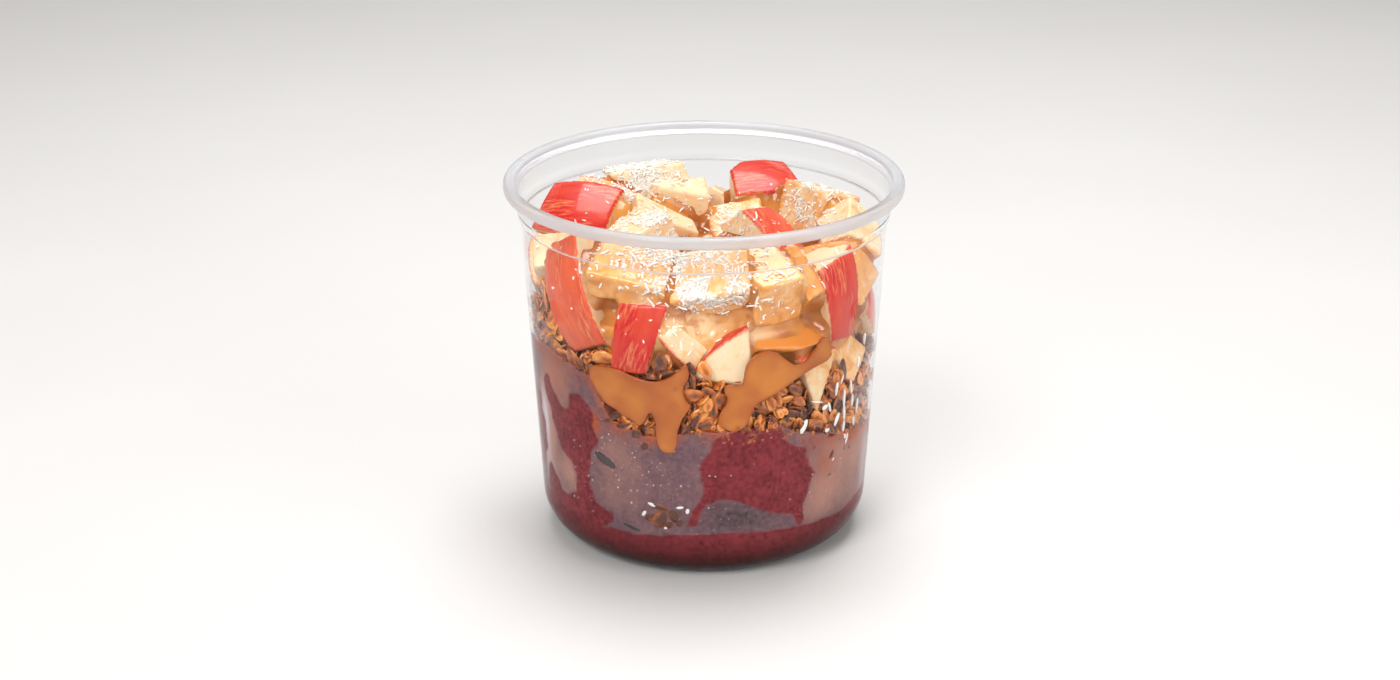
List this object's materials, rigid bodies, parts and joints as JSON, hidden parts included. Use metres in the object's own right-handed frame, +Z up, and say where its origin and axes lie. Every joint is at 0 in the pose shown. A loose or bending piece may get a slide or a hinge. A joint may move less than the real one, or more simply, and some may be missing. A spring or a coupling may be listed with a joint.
{
  "type": "acai bowl",
  "caption": "Clear round deli cup of acai blend topped with granola, caramel sauce, apple chunks and coconut shreds.",
  "frame": {"origin": "middle of the face the cup stands on", "axes": "+Z up along the cup's axis, front at -Y"},
  "size_m": [0.117, 0.117, 0.1085],
  "materials": {
    "clear_plastic": "clear injection-moulded polypropylene, frosted at the rim",
    "acai": "thick frozen fruit blend, deep wine red where pressed on the wall and foggy mauve elsewhere",
    "granola": "toasted oats and clusters, dull with a little honey gloss",
    "caramel": "glossy thick sauce",
    "apple_flesh": "wet cream flesh, glazed with caramel in places",
    "apple_skin": "smooth red skin with fine yellow streaks",
    "coconut": "dry white shreds"
  },
  "bodies": {
    "root": {"cup": "clear_plastic", "acai_blend": "acai", "granola_heap": "granola", "caramel_front": "caramel", "caramel_right": "caramel", "caramel_back": "caramel", "caramel_left": "caramel", "apple_chunk_01": "apple_flesh", "apple_chunk_02": "apple_flesh", "apple_chunk_03": "apple_flesh", "apple_chunk_04": "apple_flesh", "apple_chunk_05": "apple_flesh", "apple_chunk_06": "apple_flesh", "apple_chunk_07": "apple_flesh", "apple_chunk_08": "apple_flesh", "apple_chunk_09": "apple_flesh", "apple_chunk_10": "apple_flesh", "apple_chunk_11": "apple_flesh", "apple_chunk_12": "apple_flesh", "apple_chunk_13": "apple_flesh", "apple_chunk_14": "apple_flesh", "apple_chunk_15": "apple_flesh", "apple_chunk_16": "apple_flesh", "apple_chunk_17": "apple_flesh", "apple_chunk_18": "apple_flesh", "apple_chunk_19": "apple_flesh", "apple_chunk_20": "apple_flesh", "apple_chunk_21": "apple_flesh", "apple_chunk_22": "apple_flesh", "apple_chunk_23": "apple_flesh", "apple_chunk_24": "apple_flesh", "apple_chunk_25": "apple_flesh", "apple_chunk_26": "apple_flesh", "apple_chunk_27": "apple_flesh", "apple_chunk_28": "apple_flesh", "apple_chunk_29": "apple_flesh", "apple_chunk_30": "apple_flesh", "apple_chunk_31": "apple_flesh", "apple_chunk_32": "apple_flesh", "apple_chunk_33": "apple_flesh", "apple_chunk_34": "apple_flesh", "apple_chunk_35": "apple_flesh", "apple_chunk_36": "apple_flesh", "apple_chunk_37": "apple_flesh", "apple_chunk_38": "apple_flesh", "apple_chunk_39": "apple_flesh", "apple_chunk_40": "apple_flesh"}
  },
  "joints": []
}
